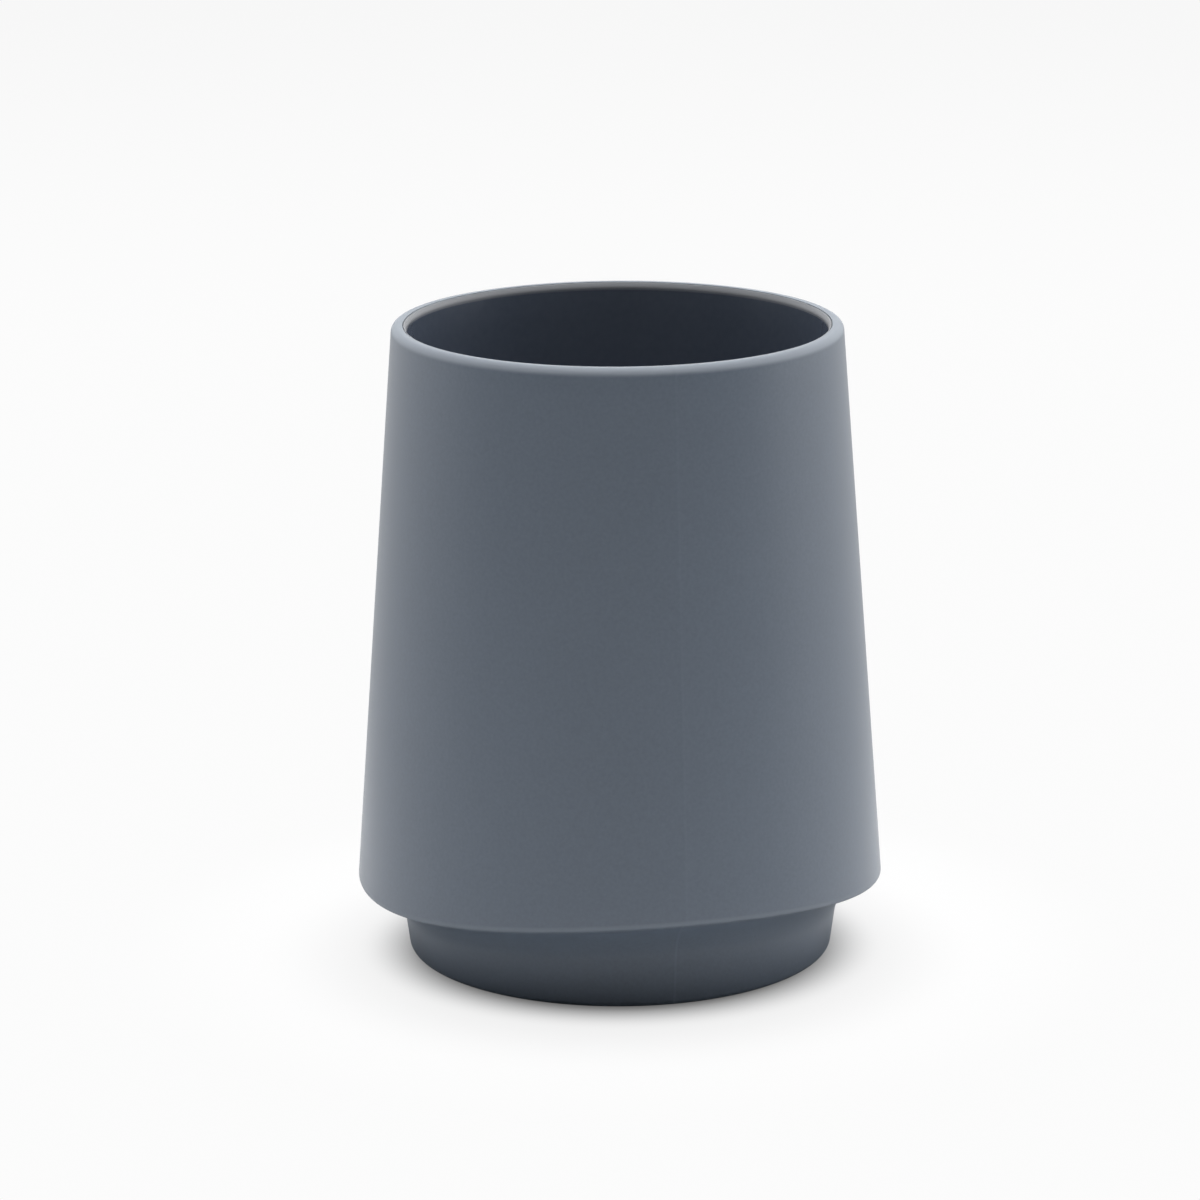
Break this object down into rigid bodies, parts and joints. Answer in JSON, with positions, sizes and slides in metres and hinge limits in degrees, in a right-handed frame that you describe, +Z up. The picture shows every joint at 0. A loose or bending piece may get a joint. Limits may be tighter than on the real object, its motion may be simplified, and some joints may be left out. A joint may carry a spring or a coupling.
{
  "type": "bathroom tumbler",
  "caption": "Tapered matte bathroom tumbler with an overhanging arched shoulder on a coved foot, a glossy inner liner cup and an anti-slip base.",
  "frame": {"origin": "centre of the standing ring, on the floor", "axes": "+Z up along the cup's axis; the shell's parting plane is x = 0, with a parting line at the front (-Y) and one at the back"},
  "size_m": [0.089, 0.0882, 0.108],
  "materials": {
    "shell_matte": "fine matte, soft-touch",
    "liner_gloss": "gloss",
    "seal_rubber": "matte",
    "base_matte": "satin",
    "ring_rubber": "matte"
  },
  "bodies": {
    "root": {"outer_shell": "shell_matte", "inner_liner": "liner_gloss", "rim_seal": "seal_rubber", "base_plate": "base_matte", "anti_slip_ring": "ring_rubber"}
  },
  "joints": []
}
